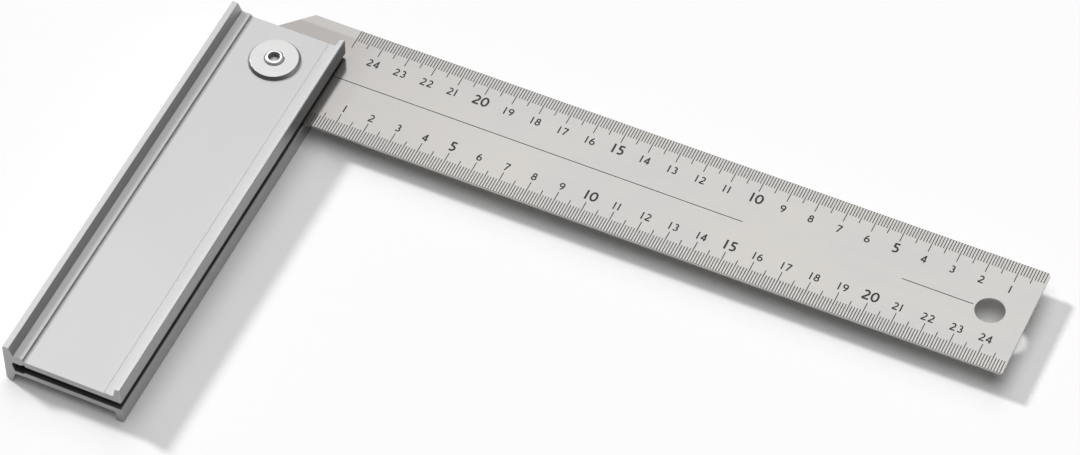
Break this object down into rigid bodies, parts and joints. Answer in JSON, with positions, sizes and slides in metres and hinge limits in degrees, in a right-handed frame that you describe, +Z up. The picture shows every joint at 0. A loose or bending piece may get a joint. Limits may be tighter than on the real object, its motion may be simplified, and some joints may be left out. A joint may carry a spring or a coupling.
{
  "type": "adjustable set square",
  "caption": "Adjustable set square: slotted aluminium stock with a pivoting steel rule blade, clamped by a socket screw, folding along the stock and opening past square.",
  "frame": {"origin": "middle of the footprint, on the plane that the stock rests on", "axes": "+X along the blade towards its free end, +Y along the stock towards its pivot end, +Z up, square to the blade's face with the scales"},
  "size_m": [0.2926, 0.1734, 0.017],
  "materials": {
    "anodised_aluminium": "satin natural anodising",
    "satin_steel": "satin, brushed along its length, with dark etched scales",
    "turned_steel": "fine turned",
    "spring_steel": "dull",
    "black_nylon": "matt"
  },
  "bodies": {
    "stock": {"stock_profile": "anodised_aluminium", "pivot_disc": "turned_steel", "spring_washer": "spring_steel", "upper_friction_washer": "black_nylon", "lower_friction_washer": "black_nylon"},
    "blade": {"blade": "satin_steel"},
    "clamp_screw": {"clamp_screw": "turned_steel"},
    "clamp_nut": {"clamp_nut": "turned_steel"}
  },
  "joints": [
    {"name": "blade_swing", "type": "hinge", "parent": "stock", "child": "blade", "pos_m": [-0.1232, 0.05983, 0.0085], "axis": [0, 0, 1], "range_deg": [-90, 53]},
    {"name": "screw_turn", "type": "hinge", "parent": "stock", "child": "clamp_screw", "pos_m": [-0.1232, 0.05983, 0.0085], "axis": [0, 0, 1], "range_deg": [0, 360]},
    {"name": "nut_travel", "type": "slide", "parent": "stock", "child": "clamp_nut", "axis": [0, 0, -1], "range_m": [0, 0.0007]}
  ],
  "couplings": [
    {"joint": "screw_turn", "follows": "nut_travel", "rad_per_m": 8975.9}
  ]
}
